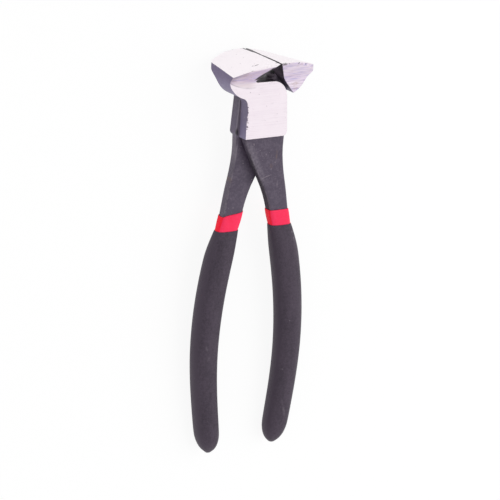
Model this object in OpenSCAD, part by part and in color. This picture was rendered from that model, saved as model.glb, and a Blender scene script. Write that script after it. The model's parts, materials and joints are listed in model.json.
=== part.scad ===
// End cutting nippers: two forged halves in a riveted lap joint, with double-dipped vinyl grips.
// A half is modelled about the pivot, with Y towards the jaws and Z along the rivet.
// The other half is the same forging turned half a turn about the tool's long axis.

/* [Jaws] */
// Distance from the pivot to the cutting edges
reach = 26.5; // [24:0.5:30]
// Length of each cutting edge
edge_len = 33.4; // [28:0.2:40]
// Gap left between the closed cutting edges
edge_gap = 0.6; // [0.2:0.1:0.8]
// Distance from the tool's axis to the outer corner of a jaw
jaw_w = 22.8; // [20:0.2:25]
// Radius of a jaw's outer wall
jaw_round = 13.6; // [12:0.2:15]
// Height of the outer wall's centre above the pivot
jaw_rise = 20.6; // [18:0.2:22]
// Radius of the ground crown over both jaws
crown_r = 50; // [40:1:80]
// Turn of the crown about the tool's axis, in degrees
crown_skew = 16; // [0:1:18]
// Radius of the fan that the jaws make, seen from above
fan_r = 50; // [36:1:80]
// Radius of a jaw's outer corners, seen from above
jaw_corner = 3; // [1:0.2:6]
// Angle of a jaw's inner bevel from the mid plane over its own lap, in degrees
bevel_angle = 34.5; // [32:0.5:37]
// Angle of the inner bevel over the other lap, in degrees
relief_angle = 38.5; // [38:0.5:42]
// Height above the pivot at which the jaws start to flare
flare_y = 15.4; // [14:0.2:17]
// Angle between the flared jaw ends and the cheeks, in degrees
flare_angle = 44; // [38:1:52]
// Radius of the cove between a cheek and a flared jaw end
flare_cove = 5; // [3:0.5:8]

/* [Joint] */
// Thickness of one lap
lap_t = 6; // [5:0.2:8]
// Running gap between the two laps
lap_gap = 0.1; // [0.06:0.02:0.2]
// Distance from the pivot to a cheek's edge below its jaw
neck_w = 11; // [10:0.2:12]
// Distance from the pivot to a cheek's free edge
cheek_w = 11.9; // [11:0.1:12.6]
// Lean of a cheek's free edge, in degrees
cheek_lean = 4; // [0:0.5:6]
// Distance from the pivot to the top edge of a cheek
cheek_top = 15.1; // [13.7:0.2:15.3]
// Distance from the pivot to the bottom edge of a cheek
cheek_bottom = 12.8; // [12:0.2:16]
// Radius of a cheek's free top corner
cheek_round = 8.4; // [7:0.2:9.4]
// Radius of a cheek's free bottom corner
cheek_corner = 2.4; // [1:0.2:4]
// Radius of the fillet between a cheek and the outer wall of its jaw
neck_fillet = 3.6; // [2:0.2:5]
// Radius of the shoulder that the other lap turns in
shoulder_r = 16.2; // [15.6:0.1:17]
// Half the width of the throat
throat_w = 7.5; // [7:0.1:8]
// Radius at the closed end of the throat
throat_fillet = 1.8; // [1:0.1:2.2]
// Radius of the rivet's shank
rivet_r = 4; // [3:0.25:5]
// Radius of the rivet's countersunk heads
rivet_head_r = 5.4; // [5.2:0.1:6.5]
// Height of a countersunk head
rivet_head_t = 1.6; // [1:0.1:2.5]
// Clearance round the rivet in the half that it is fixed in
rivet_fit = 0.02; // [0.01:0.01:0.04]
// Clearance round the rivet in the half that turns on it
rivet_run = 0.06; // [0.04:0.01:0.1]

/* [Shanks] */
// How far a cheek stands proud of its shank
cheek_step = 0.7; // [0.3:0.1:1.2]
// How far a shank stays clear of the mid plane where the two cross
shank_relief = 0.3; // [0.2:0.05:0.6]
// Width of a shank below its cheek
shank_root_w = 22.6; // [18:0.2:23]
// Width of a shank where its grip starts
shank_w = 10.4; // [8:0.2:11]
// Thickness of a shank where its grip starts
shank_t = 5.4; // [4.5:0.1:7]
// Distance from the pivot to where a shank starts to bend to the mid plane
joggle_top = 36.5; // [36:0.5:42]
// Distance from the pivot to where a shank lies on the mid plane
joggle_end = 58; // [54:0.5:80]
// Width of the core inside a grip
core_w = 10.8; // [9:0.2:11.4]
// Thickness of the core inside a grip
core_t = 8; // [6:0.2:8.8]

/* [Handles] */
// Distance from the pivot to the top of the red bands
band_top = 50.8; // [48:0.2:56]
// Visible length of a red band
band_len = 8.1; // [5:0.1:12]
// Distance from the pivot to the widest part of the handles
bulge_y = 120; // [105:1:130]
// Distance from the pivot to the tips of the grips
handle_len = 173.5; // [160:0.5:200]
// Offset of a handle from the tool's axis at its cheek
root_x = 0.8; // [0:0.1:1]
// Offset of a handle from the tool's axis at its band
band_x = 12.7; // [11:0.1:14]
// Offset of a handle from the tool's axis at its widest part
bulge_x = 24.2; // [21:0.2:30]
// Offset of a handle from the tool's axis at its tip
tip_x = 18.6; // [14:0.2:24]
// Lean of a shank where it leaves its cheek, in degrees
root_lean = 7; // [4:0.5:12]
// Lean of a handle at its band, in degrees
band_lean = 18; // [15:0.5:22]
// Lean of a handle at its tip, in degrees
tip_lean = 7.5; // [2:0.5:12]

/* [Grips] */
// Width of a grip
grip_w = 15; // [13.6:0.2:18]
// Width that a grip tapers to at its tip
grip_tip_w = 12.6; // [12.4:0.2:15]
// Thickness of a grip
grip_t = 12.2; // [10.6:0.2:15]
// Length over which a grip swells to its full size
grip_swell = 16; // [8:0.5:24]
// Length of a grip's rounded tip
grip_cap = 11.5; // [8:0.5:16]
// Thickness of the red first coat
red_wall = 0.7; // [0.5:0.1:0.9]
// Thickness of the black second coat at its lip
black_lip = 0.5; // [0.3:0.1:0.8]
// Gap between a coat and what it covers
coat_gap = 0.02; // [0.01:0.01:0.05]
// Thickness of each coat over the end of what it covers
coat_end = 1.6; // [1:0.1:3]
// Rise of the left band's upper edge towards the other handle
left_rise = 1.2; // [0:0.2:2]

/* [Hidden] */
$fn = 96;
// Length by which a cut runs past what it cuts
overrun = 1;
// Sides of a ring round a handle, and steps along a rounded corner
ring_sides = 20;
corner_steps = 10;
// Sides of a whole circle at a jaw's outer corner
corner_sides = 24;
// Steps down a shank, down a swell, along a core and round a tip
shank_steps = 10;
swell_steps = 4;
core_steps = 7;
cap_steps = 6;
// How square a section is: 2 is an ellipse, and a higher value has flatter sides
steel_square_share = 8;
band_square_share = 4;
coat_square_share = 2.8;
grip_square_share = 2.3;
// How fast a shank narrows below its cheek
taper_share = 1.5;
// How much of a section is left at the flat end of a rounded tip
flat_share = 0.22;
// How much of its thickness a coat has at its very edge
lip_share = 0.4;

// Colours of the pieces
steel_color = [0.72, 0.70, 0.73];
rivet_color = [0.80, 0.78, 0.80];
red_color = [0.95, 0.15, 0.27];
black_color = [0.27, 0.25, 0.28];

edge_half = edge_len / 2;
jaw_x = jaw_w - jaw_round;
shank_root_t = lap_t - cheek_step - shank_relief;
shank_top = cheek_bottom - cheek_corner;
band_end = band_top + band_len;
swell_end = band_end + grip_swell;
red_tip = handle_len - coat_end - coat_gap;
core_tip = red_tip - coat_end - coat_gap;

// The tool lies on a table, on its jaws and on the ends of its grips
rest_y = handle_len - grip_cap;
flare_end = min(reach, flare_y + (edge_half - lap_t) / tan(flare_angle));
lie_tilt = atan((edge_half - grip_t / 2) / (flare_end + rest_y));
lie_z = edge_half * cos(lie_tilt) - flare_end * sin(lie_tilt);
lie_y = ((handle_len - reach) * cos(lie_tilt) - edge_half * sin(lie_tilt)) / 2;

// Curves

function arc(c, r, from, to) =
    [for (i = [0:corner_steps])
        let (a = from + (to - from) * i / corner_steps)
            c + r * [cos(a), sin(a)]];

function clamp(s) = max(0, min(1, s));

// Share of the way from one distance to another
function span(from, to, d) = clamp((d - from) / (to - from));

// Smooth step from a to b, with s from 0 to 1
function ease(a, b, s) = a + (b - a) * s * s * (3 - 2 * s);

// Curve from a to b over a run, with the slopes that it has at its two ends
function curve(a, slope_a, b, slope_b, run, s) =
    ease(a, b, s) + run * s * (1 - s) * (slope_a * (1 - s) - slope_b * s);

function power(v, n) = sign(v) * pow(abs(v), n);

// The lines of a handle, by the distance d below the pivot

function shank_x(d) =
    curve(root_x, tan(root_lean), band_x, tan(band_lean), band_top - cheek_bottom,
        span(cheek_bottom, band_top, d));

function upper_grip_x(d) =
    curve(band_x, tan(band_lean), bulge_x, 0, bulge_y - band_top, span(band_top, bulge_y, d));

function lower_grip_x(d) =
    curve(bulge_x, 0, tip_x, -tan(tip_lean), handle_len - bulge_y, span(bulge_y, handle_len, d));

function handle_x(d) = d < band_top ? shank_x(d) : d < bulge_y ? upper_grip_x(d) : lower_grip_x(d);

// A shank lies on its lap's side of the mid plane, and a grip lies on the mid plane
function handle_z(d) = ease(shank_relief + shank_root_t / 2, 0, span(joggle_top, joggle_end, d));

function steel_w(d) =
    d < band_top
        ? shank_w + (shank_root_w - shank_w) * pow(1 - span(cheek_bottom, band_top, d), taper_share)
        : ease(shank_w, core_w, span(band_end, swell_end, d));

function steel_t(d) =
    d < band_top
        ? ease(shank_root_t, shank_t, span(joggle_top, band_top, d))
        : ease(shank_t, core_t, span(band_end, swell_end, d));

// Size of a grip that swells from its lip on the steel, and then tapers to its tip
function grip_size(d, lip, full, tip) =
    d < swell_end
        ? lip + (full - lip) * sin(90 * span(band_end, swell_end, d))
        : ease(full, tip, span(swell_end, handle_len, d));

function lip_size(steel) = steel + 2 * (red_wall + black_lip);

// How much is left of a section near a rounded tip that ends at the distance e
function tip_share(d, e) = max(flat_share, sqrt(1 - pow(span(e - grip_cap, e, d), 2)));

// Rings and lofts

function ring_point(a, d, w, t, square) =
    [handle_x(d) + w / 2 * power(cos(a), 2 / square), -d, handle_z(d) + t / 2 * power(sin(a), 2 / square)];

function ring_angles() = [for (i = [0:ring_sides - 1]) 360 * i / ring_sides];

// A ring on the steel, grown outwards; its inner side may rise above its outer side
function steel_ring(d, grow, square, rise) =
    [for (a = ring_angles())
        let (p = d + rise * cos(a))
            ring_point(a, p, steel_w(p) + 2 * grow, steel_t(p) + 2 * grow, square)];

// A ring that also shrinks towards a rounded tip that ends at the distance e
function core_ring(d, grow, e) =
    let (left = tip_share(d, e))
        [for (a = ring_angles())
            ring_point(a, d, (steel_w(d) + 2 * grow) * left, (steel_t(d) + 2 * grow) * left,
                coat_square_share)];

function grip_ring(d) =
    let (
        left = tip_share(d, handle_len),
        w = grip_size(d, lip_size(steel_w(band_end)), grip_w, grip_tip_w),
        t = grip_size(d, lip_size(steel_t(band_end)), grip_t, grip_t)
    )
        [for (a = ring_angles()) ring_point(a, d, w * left, t * left, grip_square_share)];

function steps(from, to, count) = [for (i = [0:count]) from + (to - from) * i / count];

function tail(list) = [for (i = [1:len(list) - 1]) list[i]];

function tip_steps(e) = [for (i = [1:cap_steps]) e - grip_cap + grip_cap * sin(90 * i / cap_steps)];

// Distances at which the coats and the steel below them all have a ring
function coat_steps() =
    concat(steps(band_end, swell_end, swell_steps), tail(steps(swell_end, core_tip - grip_cap, core_steps)));

// The covered steel, or a coat's surface that lies a distance away from it
function core_rings(grow, e) = [for (d = concat(coat_steps(), tip_steps(e))) core_ring(d, grow, e)];

// Triangles between ring k and the ring after it, split along one diagonal or the other
function wall(k, turned) =
    [for (i = [0:ring_sides - 1])
        let (
            j = (i + 1) % ring_sides,
            a = k * ring_sides,
            b = a + ring_sides
        )
            each turned
                ? [[a + i, b + i, a + j], [b + i, b + j, a + j]]
                : [[a + i, b + i, b + j], [a + i, b + j, a + j]]];

// The walls of the rings that run up an inside are split as the outside that they lie on is
module loft(rings, inside = 0) {
    count = len(rings);
    first = [for (i = [0:ring_sides - 1]) i];
    last = [for (i = [ring_sides - 1:-1:0]) (count - 1) * ring_sides + i];
    polyhedron(
        points = [for (r = rings) each r],
        faces = concat([first], [for (k = [0:count - 2]) each wall(k, k < inside - 1)], [last])
    );
}

// A coat that is closed at its tip: up its inside, over its lip and down its outside
module coat(inner, outer) {
    loft(concat([for (i = [len(inner) - 1:-1:0]) inner[i]], outer), len(inner));
}

// Steel

// The outline of both jaws, seen from above
module fan() {
    offset(r = jaw_corner, $fn = corner_sides)
        offset(delta = -jaw_corner)
            intersection() {
                translate([0, fan_r - edge_half])
                    circle(fan_r);
                translate([0, edge_half - fan_r])
                    circle(fan_r);
                square([2 * jaw_w, edge_len], center = true);
            }
}

// The flared and fanned jaw, before the other lap's room is taken out of it.
// Its inner bevel ends at the throat's wall over its own lap, and is steeper and runs on over the other lap.
module jaw_blank() {
    cove_y = flare_y - flare_cove * tan(flare_angle / 2);
    flare_top = reach + lap_t;
    flare = concat(
        [[0, lap_t]],
        arc([cove_y, lap_t + flare_cove], flare_cove, -90, flare_angle - 90),
        [[flare_top, lap_t + (flare_top - flare_y) * tan(flare_angle)]]
    );
    relief_x = edge_gap / 2 + reach * tan(relief_angle);
    bevel_y = reach - (throat_w - edge_gap / 2) / tan(bevel_angle);
    intersection() {
        translate([-jaw_x, jaw_rise, -edge_half])
            cylinder(r = jaw_round, h = edge_len);
        rotate([0, crown_skew, 0])
            translate([0, reach - crown_r, -edge_len])
                cylinder(r = crown_r, h = 2 * edge_len);
        rotate([-90, 0, 0])
            linear_extrude(reach + overrun)
                fan();
        translate([-jaw_w - overrun, 0, 0])
            rotate([90, 0, 90])
                linear_extrude(jaw_w + overrun)
                    polygon(concat(flare, [for (i = [len(flare) - 1:-1:0]) [flare[i].x, -flare[i].y]]));
        union() {
            translate([0, 0, -edge_half])
                linear_extrude(edge_len)
                    polygon([
                        [-edge_gap / 2, reach + overrun],
                        [-edge_gap / 2, reach],
                        [-relief_x, 0],
                        [-jaw_w - overrun, 0],
                        [-jaw_w - overrun, reach + overrun]
                    ]);
            translate([0, 0, lap_gap / 2])
                linear_extrude(edge_half)
                    polygon([
                        [-edge_gap / 2, reach],
                        [-throat_w, bevel_y],
                        [-throat_w, 0],
                        [-jaw_w - overrun, 0],
                        [-jaw_w - overrun, reach]
                    ]);
        }
    }
}

module jaw() {
    difference() {
        jaw_blank();
        translate([0, 0, -edge_len])
            cylinder(r = shoulder_r, h = edge_len + lap_gap / 2);
    }
}

// Place across the tool of a corner's centre that touches the leaning free edge of a cheek
function free_x(r, y) = cheek_w - r / cos(cheek_lean) - y * tan(cheek_lean);

// The lap's outline runs into its jaw, and a fillet leads from the jaw's outer wall to the cheek
module lap() {
    corner_y = cheek_corner - cheek_bottom;
    round_y = cheek_top - cheek_round;
    neck_x = -neck_w - neck_fillet;
    neck_reach = jaw_round + neck_fillet;
    neck_angle = acos((-jaw_x - neck_x) / neck_reach);
    neck_y = jaw_rise - neck_reach * sin(neck_angle);
    translate([0, 0, lap_gap / 2])
        linear_extrude(lap_t - lap_gap / 2)
            polygon(concat(
                [[-neck_w, -cheek_bottom]],
                arc([free_x(cheek_corner, corner_y), corner_y], cheek_corner, -90, cheek_lean),
                arc([free_x(cheek_round, round_y), round_y], cheek_round, cheek_lean, 90),
                arc([throat_fillet - throat_w, cheek_top + throat_fillet], throat_fillet, 270, 180),
                [[-jaw_x, jaw_rise]],
                arc([neck_x, neck_y], neck_fillet, neck_angle, 0)
            ));
}

module shank() {
    loft(concat(
        [for (d = steps(shank_top, band_top, shank_steps)) steel_ring(d, 0, steel_square_share, 0)],
        [for (d = [(band_top + band_end) / 2]) steel_ring(d, 0, coat_square_share, 0)],
        core_rings(0, core_tip)
    ));
}

// The rivet, or with a clearance and a length past the cheeks, the bore for it
module rivet_blank(clearance = 0, past = 0) {
    side = concat(
        [[rivet_r + clearance, lap_t - rivet_head_t], [rivet_head_r + clearance, lap_t]],
        past > 0 ? [[rivet_head_r + clearance, lap_t + past]] : [],
        [[0, lap_t + past]]
    );
    rotate_extrude()
        polygon(concat([for (i = [len(side) - 1:-1:0]) [side[i].x, -side[i].y]], side));
}

module half(clearance) {
    difference() {
        union() {
            jaw();
            lap();
            shank();
        }
        rivet_blank(clearance, overrun);
    }
}

module front_half() {
    color(steel_color)
        lie()
            half(rivet_fit);
}

module rear_half() {
    color(steel_color)
        lie()
            other_side()
                half(rivet_run);
}

module rivet() {
    color(rivet_color)
        lie()
            rivet_blank();
}

// Coats

module band(rise) {
    middle = (band_top + band_end) / 2;
    inner = concat(
        [steel_ring(band_top, coat_gap, steel_square_share, rise)],
        [steel_ring(middle, coat_gap, coat_square_share, 0)],
        core_rings(coat_gap, core_tip + coat_gap)
    );
    outer = concat(
        [steel_ring(band_top, red_wall * lip_share, steel_square_share, rise)],
        [steel_ring(band_top + red_wall, red_wall, band_square_share, rise)],
        [steel_ring(middle, red_wall, band_square_share, 0)],
        core_rings(red_wall, red_tip)
    );
    color(red_color)
        coat(inner, outer);
}

module grip() {
    lip = red_wall + coat_gap + black_lip * lip_share;
    stations = concat(
        [band_end + black_lip],
        tail(steps(band_end, swell_end, swell_steps)),
        tail(steps(swell_end, handle_len - grip_cap, core_steps)),
        tip_steps(handle_len)
    );
    color(black_color)
        coat(
            core_rings(red_wall + coat_gap, red_tip + coat_gap),
            concat([core_ring(band_end, lip, core_tip)], [for (d = stations) grip_ring(d)])
        );
}

module right_band() {
    lie()
        band(0);
}

module left_band() {
    lie()
        other_side()
            band(left_rise);
}

module right_grip() {
    lie()
        grip();
}

module left_grip() {
    lie()
        other_side()
            grip();
}

// Places

module other_side() {
    rotate([0, 180, 0])
        children();
}

module lie() {
    translate([0, lie_y, lie_z])
        rotate([lie_tilt, 0, 0])
            children();
}

front_half();
rear_half();
rivet();
right_band();
left_band();
right_grip();
left_grip();
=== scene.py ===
"""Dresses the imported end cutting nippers: two forged halves, a flush rivet and double-dipped grips."""
import json
import logging
import math
from dataclasses import dataclass
from enum import Enum

import bpy
from mathutils import Matrix, Vector


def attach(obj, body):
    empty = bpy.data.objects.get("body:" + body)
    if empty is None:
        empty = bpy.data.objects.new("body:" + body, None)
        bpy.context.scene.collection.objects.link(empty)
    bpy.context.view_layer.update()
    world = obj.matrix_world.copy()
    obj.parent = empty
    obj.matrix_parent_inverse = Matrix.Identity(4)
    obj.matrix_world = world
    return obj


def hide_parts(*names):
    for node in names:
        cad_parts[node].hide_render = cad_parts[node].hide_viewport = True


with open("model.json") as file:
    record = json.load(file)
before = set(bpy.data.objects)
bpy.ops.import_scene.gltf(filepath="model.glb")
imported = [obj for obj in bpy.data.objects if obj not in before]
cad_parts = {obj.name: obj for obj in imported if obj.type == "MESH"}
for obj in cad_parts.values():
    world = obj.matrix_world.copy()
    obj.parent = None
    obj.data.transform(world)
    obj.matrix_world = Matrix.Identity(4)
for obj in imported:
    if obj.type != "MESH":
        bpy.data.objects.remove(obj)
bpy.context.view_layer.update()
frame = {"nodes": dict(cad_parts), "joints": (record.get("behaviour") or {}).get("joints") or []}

MM = 0.001

log = logging.getLogger("nippers")

Colour = tuple[float, float, float]
Triple = tuple[float, float, float]
Span = tuple[float, float]

WHITE: Colour = (1.0, 1.0, 1.0)


class Side(Enum):
    """Which way a half's own cheek faces along the rivet."""

    FRONT = 1.0
    REAR = -1.0


class Mark(Enum):
    """Attributes of the face corners that the steel finish reads."""

    GROUND = "ground"
    EDGE = "edge"
    SIDE = "side"


class ToolFrame:
    """The tool's own frame: its origin on the rivet, Y towards the jaws, Z along the rivet."""

    def __init__(self, joint: dict) -> None:
        """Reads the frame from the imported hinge.

        Args:
            joint: The hinge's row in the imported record.
        """
        z_axis = -Vector(joint["axis"]).normalized()
        x_axis = Vector((1.0, 0.0, 0.0))
        y_axis = z_axis.cross(x_axis).normalized()
        self.origin = Vector(joint["pos_m"])
        self.turn = Matrix((x_axis, y_axis, z_axis)).transposed()

    def point(self, place: Vector) -> Vector:
        """Gives a point of the row frame in the tool frame, in millimetres."""
        return self.turn.transposed() @ (place - self.origin) / MM

    def direction(self, arrow: Vector) -> Vector:
        """Gives a direction of the row frame in the tool frame."""
        return self.turn.transposed() @ arrow

    def place(self, point: Vector) -> Vector:
        """Gives a point of the tool frame, in millimetres, in the row frame."""
        return self.turn @ (point * MM) + self.origin

    def matrix(self, right: Vector, up: Vector, back: Vector, place: Vector) -> Matrix:
        """Gives the world matrix for axes and a place, in millimetres, of the tool frame."""
        axes = Matrix([self.turn @ axis for axis in (right, up, back)]).transposed()
        return Matrix.Translation(self.place(place)) @ axes.to_4x4()


TOOL = ToolFrame(frame["joints"][0])


@dataclass(frozen=True)
class Spot:
    """A soft mark at one place of the tool frame, in millimetres, turned about Z in degrees."""

    centre: Triple
    size: Triple
    turn: float
    level: float
    fade: Span = (1.0, 0.3)


@dataclass(frozen=True)
class Pattern:
    """A noise pattern: its scale, detail and roughness, and how a place is scaled to draw it out."""

    scale: float
    detail: float = 2.0
    rough: float = 0.5
    stretch: Triple | None = None


@dataclass(frozen=True)
class Specks:
    """Scattered specks: cells per unit of length, a radius in cells, and the share of cells with one.

    The core is the share of the radius within which a speck is even. Full is the share of the specks that
    are at full strength.
    """

    scale: float
    size: float
    share: float
    core: float = 0.6
    full: float = 0.8


class Value:
    """A socket of a node tree, with the operators that add Math nodes."""

    def __init__(self, tree: "Tree", socket: bpy.types.NodeSocket) -> None:
        """Wraps an output socket of a tree."""
        self.tree = tree
        self.socket = socket

    def _math(self, operation: str, first: "Value | float", second: "Value | float") -> "Value":
        """Adds a Math node and gives its result."""
        return self.tree.node("Math", {"operation": operation}, {0: first, 1: second})

    def __add__(self, other: "Value | float") -> "Value":
        """Adds."""
        return self._math("ADD", self, other)

    __radd__ = __add__

    def __sub__(self, other: "Value | float") -> "Value":
        """Subtracts."""
        return self._math("SUBTRACT", self, other)

    def __rsub__(self, other: "Value | float") -> "Value":
        """Subtracts from a number."""
        return self._math("SUBTRACT", other, self)

    def __mul__(self, other: "Value | float") -> "Value":
        """Multiplies."""
        return self._math("MULTIPLY", self, other)

    __rmul__ = __mul__

    def __abs__(self) -> "Value":
        """Takes away the sign."""
        return self._math("ABSOLUTE", self, 0.0)

    def most(self, other: "Value | float") -> "Value":
        """Gives the greater of two values."""
        return self._math("MAXIMUM", self, other)

    def sign(self) -> "Value":
        """Gives 1 or -1."""
        return self._math("SIGN", self, 0.0)

    def root(self) -> "Value":
        """Gives the square root."""
        return self._math("SQRT", self, 0.0)

    def step(self, low: float, high: float) -> "Value":
        """Rises smoothly from 0 to 1, or falls where low is the greater.

        Args:
            low: Where the result is 0.
            high: Where the result is 1.

        Returns:
            The step.
        """
        start, end = (low, high) if low < high else (high, low)
        rise = self.tree.node(
            "MapRange",
            {"interpolation_type": "SMOOTHSTEP"},
            {"Value": self, "From Min": start, "From Max": end},
        )
        return rise if low < high else 1.0 - rise


class Tree:
    """A node tree and the one method that adds nodes to it."""

    def __init__(self, tree: bpy.types.NodeTree) -> None:
        """Empties the node tree of a material or a world."""
        self.tree = tree
        self.tree.nodes.clear()

    def node(self, kind: str, settings: dict, inputs: dict, output: int | str = 0) -> Value:
        """Adds a node.

        Args:
            kind: The node's type, without its prefix.
            settings: Its properties, which are set first.
            inputs: The values or links of its sockets, by name or number.
            output: The output socket that is wanted.

        Returns:
            The output, wrapped.
        """
        item = self.tree.nodes.new("ShaderNode" + kind)
        for key, setting in settings.items():
            setattr(item, key, setting)
        for key, value in inputs.items():
            socket = item.inputs[key]
            if isinstance(value, Value):
                self.tree.links.new(value.socket, socket)
            elif isinstance(value, tuple) and len(value) == 3 and socket.type == "RGBA":
                socket.default_value = (*value, 1.0)
            else:
                socket.default_value = value
        return Value(self, item.outputs[output] if item.outputs else None)

    def mix(self, first: Value | Colour, second: Value | Colour, share: Value) -> Value:
        """Mixes two colours, by the share of the second."""
        return self.node("Mix", {"data_type": "RGBA"}, {0: share, 6: first, 7: second}, 2)

    def tint(self, colour: Value | Colour, level: Value) -> Value:
        """Multiplies a colour by a value."""
        return self.node("VectorMath", {"operation": "SCALE"}, {0: colour, "Scale": level})

    def split(self, place: Value) -> tuple[Value, Value, Value]:
        """Takes a place or a direction apart.

        Args:
            place: The place or direction.

        Returns:
            Its X, Y and Z.
        """
        across = self.node("SeparateXYZ", {}, {0: place}, "X")
        parts = across.socket.node.outputs
        return across, Value(self, parts["Y"]), Value(self, parts["Z"])

    def spot(self, place: Value, spot: Spot) -> Value:
        """Gives a soft mark at one place.

        Args:
            place: Where the pattern is read.
            spot: The mark.

        Returns:
            A mask that has the mark's level in its middle.
        """
        turn = (0.0, 0.0, math.radians(spot.turn))
        inputs = {"Vector": place, "Location": spot.centre, "Rotation": turn, "Scale": spot.size}
        local = self.node("Mapping", {"vector_type": "TEXTURE"}, inputs)
        away = self.node("VectorMath", {"operation": "LENGTH"}, {0: local}, "Value")
        return away.step(*spot.fade) * spot.level

    def noise(self, place: Value, pattern: Pattern) -> Value:
        """Gives a noise pattern.

        Args:
            place: Where the pattern is read.
            pattern: The pattern.

        Returns:
            Its value, about 0.5.
        """
        if pattern.stretch:
            place = self.node("VectorMath", {"operation": "MULTIPLY"}, {0: place, 1: pattern.stretch})
        inputs = {"Scale": pattern.scale, "Detail": pattern.detail, "Roughness": pattern.rough}
        return self.node("TexNoise", {}, {"Vector": place, **inputs}, "Fac")

    def specks(self, place: Value, specks: Specks) -> Value:
        """Gives scattered specks.

        Args:
            place: Where the pattern is read.
            specks: The specks.

        Returns:
            A mask that is 1 on a speck.
        """
        inputs = {"Vector": place, "Scale": specks.scale, "Randomness": 1.0}
        near = self.node("TexVoronoi", {"feature": "F1"}, inputs, "Distance")
        cell = self.node("TexVoronoi", {"feature": "F1"}, inputs, "Color")
        pick = self.node("SeparateColor", {}, {0: cell}, 0)
        chosen = pick.step(1.0 - specks.share, 1.0 - specks.full * specks.share)
        return near.step(specks.size, specks.core * specks.size) * chosen

    def tool_place(self) -> Value:
        """Turns Object coordinates into the tool frame.

        Returns:
            The place in the tool frame, in millimetres.
        """
        place = self.node("TexCoord", {}, {}, "Object")
        origin, turn = tuple(TOOL.origin), tuple(TOOL.turn.to_euler())
        inputs = {"Vector": place, "Location": origin, "Rotation": turn, "Scale": (MM, MM, MM)}
        return self.node("Mapping", {"vector_type": "TEXTURE"}, inputs)

    def attribute(self, mark: Mark) -> Value:
        """Reads an attribute of the mesh."""
        settings = {"attribute_type": "GEOMETRY", "attribute_name": mark.value}
        return self.node("Attribute", settings, {}, "Fac")

    def flatness(self) -> Value:
        """Gives 1 where the surface faces up or down, and 0 where it stands upright."""
        return abs(self.split(self.node("TexCoord", {}, {}, "Normal"))[2])

    def bump(self, height: Value, depth: float, strength: float) -> Value:
        """Bumps the surface by a pattern, with the depth of a height of 1 in millimetres."""
        return self.node("Bump", {}, {"Height": height, "Distance": depth * MM, "Strength": strength})


class Finish:
    """A procedural material that is made once and shared by the pieces that have it."""

    name: str

    def material(self) -> bpy.types.Material:
        """Gives the material, and makes it at the first call."""
        known = bpy.data.materials.get(self.name)
        return known if known else self.make()

    def make(self) -> bpy.types.Material:
        """Makes the material.

        Returns:
            The new material.
        """
        material = bpy.data.materials.new(self.name)
        material.use_nodes = True
        tree = Tree(material.node_tree)
        shader = self.shader(tree)
        tree.node("OutputMaterial", {}, {"Surface": shader})
        return material

    def shader(self, tree: Tree) -> Value:
        """Builds the finish in its tree and gives its shader."""
        raise NotImplementedError


@dataclass(frozen=True)
class SteelHues:
    """The colours of the ground and the oxide surfaces, of the marks on them, and of the light and shade
    painted on them.
    """

    bright: Colour = (0.925, 0.84, 0.896)
    bright_shade: Colour = (0.84, 0.745, 0.815)
    # painted highlight: the crown is whitened past the cheeks' steel, and a strip of it runs along the jaw
    # ends' rims
    crown_highlight: Colour = (1.0, 0.95, 0.975)
    # the jaw ends' lavender is partly heat tint and partly painted shade, and their darkest tone is
    # painted shade
    flare: Colour = (0.70, 0.585, 0.75)
    flare_shade: Colour = (0.50, 0.40, 0.54)
    streak: Colour = (0.50, 0.45, 0.67)
    stain: Colour = (0.55, 0.42, 0.43)
    # for scratches and pits, and for painted shade along rims and creases
    scratch_and_shade: Colour = (0.30, 0.25, 0.30)
    nick: Colour = (0.055, 0.045, 0.06)
    oxide: Colour = (0.058, 0.042, 0.071)
    oxide_pale: Colour = (0.093, 0.071, 0.106)
    # paler than the oxide elsewhere, as painted light in the shaded throat
    throat: Colour = (0.125, 0.095, 0.13)
    wall: Colour = (0.14, 0.104, 0.20)
    wall_pale: Colour = (0.200, 0.167, 0.292)
    # painted shade of the shanks' inner sides
    inner: Colour = (0.026, 0.019, 0.030)
    # painted shade at the throat's corner and in the gaps at the laps' lower ends
    deep_shade: Colour = (0.006, 0.004, 0.007)
    speck: Colour = (0.34, 0.28, 0.32)
    # real wear, and painted light along the seam between the laps and on the shanks' outer sides
    wear_and_light: Colour = (0.22, 0.19, 0.23)
    rust: Colour = (0.16, 0.095, 0.075)


@dataclass(frozen=True)
class SteelGrains:
    """The patterns of the steel, per millimetre."""

    border: Pattern = Pattern(1.0, 4.0, 0.65)
    bites: Pattern = Pattern(1.25, 3.0, 0.6, (0.5, 1.0, 0.5))
    nicks: Pattern = Pattern(0.42, 4.0, 0.62)
    lines: Pattern = Pattern(1.0, 4.0, 0.6, (0.05, 2.6, 2.6))
    blotch: Pattern = Pattern(0.16, 3.0, 0.55)
    bands: Pattern = Pattern(1.0, 3.0, 0.6, (0.10, 0.8, 0.8))
    stains: Pattern = Pattern(1.0, 4.0, 0.6, (0.22, 0.5, 0.5))
    hairs: Pattern = Pattern(0.9, 1.0, 0.4, (0.10, 0.55, 0.55))
    hair_fields: Pattern = Pattern(0.30, 1.0, 0.5)
    forged: Pattern = Pattern(1.7, 3.0, 0.6)
    cloud: Pattern = Pattern(0.22, 4.0, 0.6)
    coarse: Pattern = Pattern(0.8, 2.0, 0.6)
    rubs: Pattern = Pattern(0.8, 3.0, 0.6, (0.9, 0.25, 0.9))
    edge_wear: Pattern = Pattern(0.22, 4.0, 0.65)
    pits: Specks = Specks(0.42, 0.16, 0.14)
    flecks: Specks = Specks(0.55, 0.16, 0.16)
    dots: Specks = Specks(1.3, 0.22, 0.09)


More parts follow.
